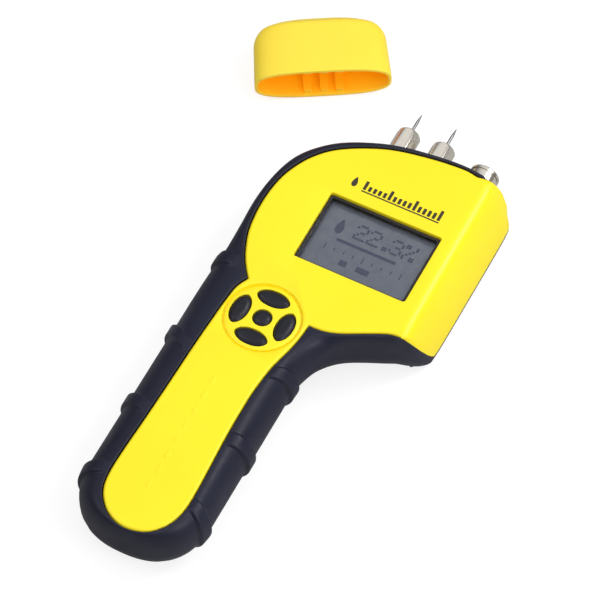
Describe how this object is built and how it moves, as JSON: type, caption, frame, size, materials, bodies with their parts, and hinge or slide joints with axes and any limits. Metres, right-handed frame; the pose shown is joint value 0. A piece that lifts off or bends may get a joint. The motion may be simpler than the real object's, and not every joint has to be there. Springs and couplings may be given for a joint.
{
  "type": "moisture meter",
  "caption": "Hand-held pin-type wood moisture meter with a wide display head, ribbed rubber grip, round keypad, sliding battery door and a pull-off cap lying beside it.",
  "frame": {"origin": "on the flat back face, straight under the middle of the display", "axes": "+Z out of the display, away from the back face; +Y along the contact pins; +X to the right of the display as it is read"},
  "size_m": [0.1274, 0.2591, 0.0289],
  "materials": {
    "yellow": "satin moulded ABS with a fine grain",
    "cap_yellow": "satin moulded plastic, slightly translucent",
    "grip": "satin moulded rubber skin",
    "black_plastic": "matt",
    "white_plastic": "natural nylon",
    "window": "clear hard-coated acrylic",
    "lcd": "grey-blue liquid crystal glass",
    "board": "green solder mask",
    "rubber": "matt silicone",
    "key": "satin hard rubber",
    "brass": "turned",
    "nickel": "satin nickel plate over turned brass",
    "steel": "bright steel",
    "battery": "printed steel can, without lettering",
    "foam": "closed-cell foam",
    "red_insulation": "PVC",
    "black_insulation": "PVC",
    "grey_insulation": "PVC"
  },
  "bodies": {
    "meter": {"front_housing": "yellow", "rear_housing": "grip", "display_bezel": "black_plastic", "display_window": "window", "lcd_panel": "lcd", "lcd_backlight": "white_plastic", "lcd_frame": "black_plastic", "main_board": "board", "controller_chip": "black_plastic", "buzzer": "black_plastic", "board_screw_left": "steel", "board_screw_right": "steel", "keypad_mat": "rubber", "pin_holder_left": "brass", "pin_holder_right": "brass", "pin_nut_left": "nickel", "pin_nut_right": "nickel", "contact_pin_left": "steel", "contact_pin_right": "steel", "pin_block": "white_plastic", "socket_shell": "nickel", "socket_insulator": "white_plastic", "socket_contact": "brass", "socket_nut": "steel", "battery_9v": "battery", "battery_snap": "black_plastic", "battery_foam": "foam", "lead_red": "red_insulation", "lead_black": "black_insulation", "pin_lead_left": "grey_insulation", "pin_lead_right": "grey_insulation", "socket_lead": "grey_insulation", "case_screw_1": "steel", "case_screw_2": "steel", "case_screw_3": "steel", "case_screw_4": "steel", "case_screw_5": "steel"},
    "neck_screw": {"neck_screw": "steel"},
    "pin_cap": {"pin_cap": "cap_yellow"},
    "battery_door": {"battery_door": "grip"},
    "key_up": {"key_up": "key"},
    "key_down": {"key_down": "key"},
    "key_left": {"key_left": "key"},
    "key_right": {"key_right": "key"},
    "key_enter": {"key_enter": "key"}
  },
  "joints": [
    {"name": "neck_screw_turn", "type": "hinge", "parent": "meter", "child": "neck_screw", "pos_m": [-0.02247, -0.03167, 0], "axis": [0, 0, 1], "range_deg": [-30.9, 0]},
    {"name": "pin_cap_pull", "type": "slide", "parent": "neck_screw", "child": "pin_cap", "axis": [-0.5135, 0.8581, 0], "range_m": [-0.023, 0]},
    {"name": "battery_door_slide", "type": "slide", "parent": "meter", "child": "battery_door", "axis": [0, -1, 0], "range_m": [0, 0.03]},
    {"name": "key_up_press", "type": "slide", "parent": "meter", "child": "key_up", "axis": [0, 0, -1], "range_m": [0, 0.001], "stiffness_N_per_m": 300},
    {"name": "key_down_press", "type": "slide", "parent": "meter", "child": "key_down", "axis": [0, 0, -1], "range_m": [0, 0.001], "stiffness_N_per_m": 300},
    {"name": "key_left_press", "type": "slide", "parent": "meter", "child": "key_left", "axis": [0, 0, -1], "range_m": [0, 0.001], "stiffness_N_per_m": 300},
    {"name": "key_right_press", "type": "slide", "parent": "meter", "child": "key_right", "axis": [0, 0, -1], "range_m": [0, 0.001], "stiffness_N_per_m": 300},
    {"name": "key_enter_press", "type": "slide", "parent": "meter", "child": "key_enter", "axis": [0, 0, -1], "range_m": [0, 0.001], "stiffness_N_per_m": 300}
  ]
}
